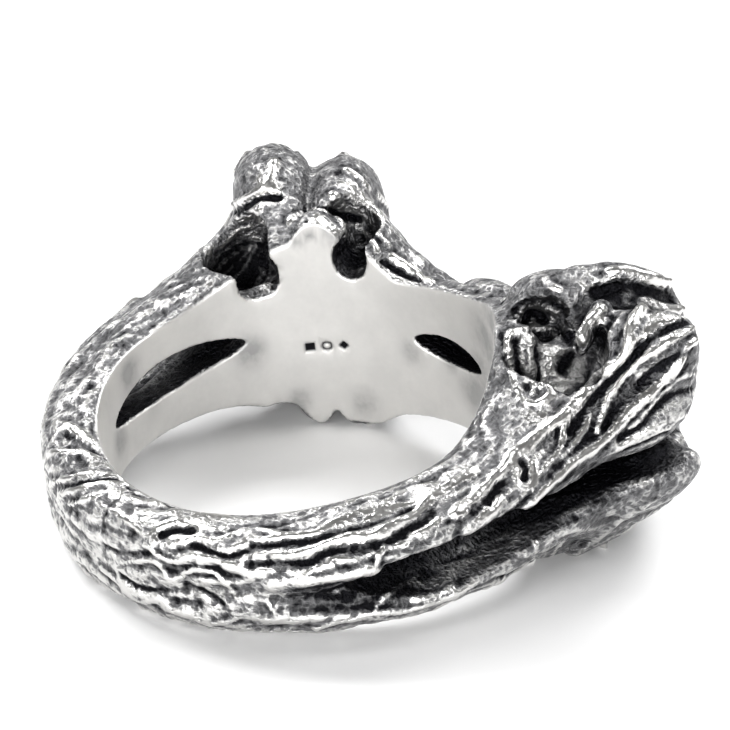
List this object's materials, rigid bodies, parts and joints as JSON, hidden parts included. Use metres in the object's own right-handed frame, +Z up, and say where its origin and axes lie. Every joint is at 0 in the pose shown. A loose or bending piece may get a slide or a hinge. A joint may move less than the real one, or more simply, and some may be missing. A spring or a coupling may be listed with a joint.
{
  "type": "bone ring",
  "caption": "Cast silver finger ring whose split shank runs into flared bone ends, with bones crossing on the display side.",
  "frame": {"origin": "on the surface the ring lies on, under the middle of its box", "axes": "+Z up; the display side with the crossed bones points along +Y, the back of the shank along -Y; +X runs across from knuckle to knuckle; the finger hole's axis leans back from +Z because the ring lies tipped on its lower knuckles"},
  "size_m": [0.0306, 0.0278, 0.0137],
  "materials": {
    "oxidised_silver": "cast silver, blackened in the hollows and polished on the ridges, with a satin finger hole"
  },
  "bodies": {
    "root": {"bone_ring": "oxidised_silver"}
  },
  "joints": []
}
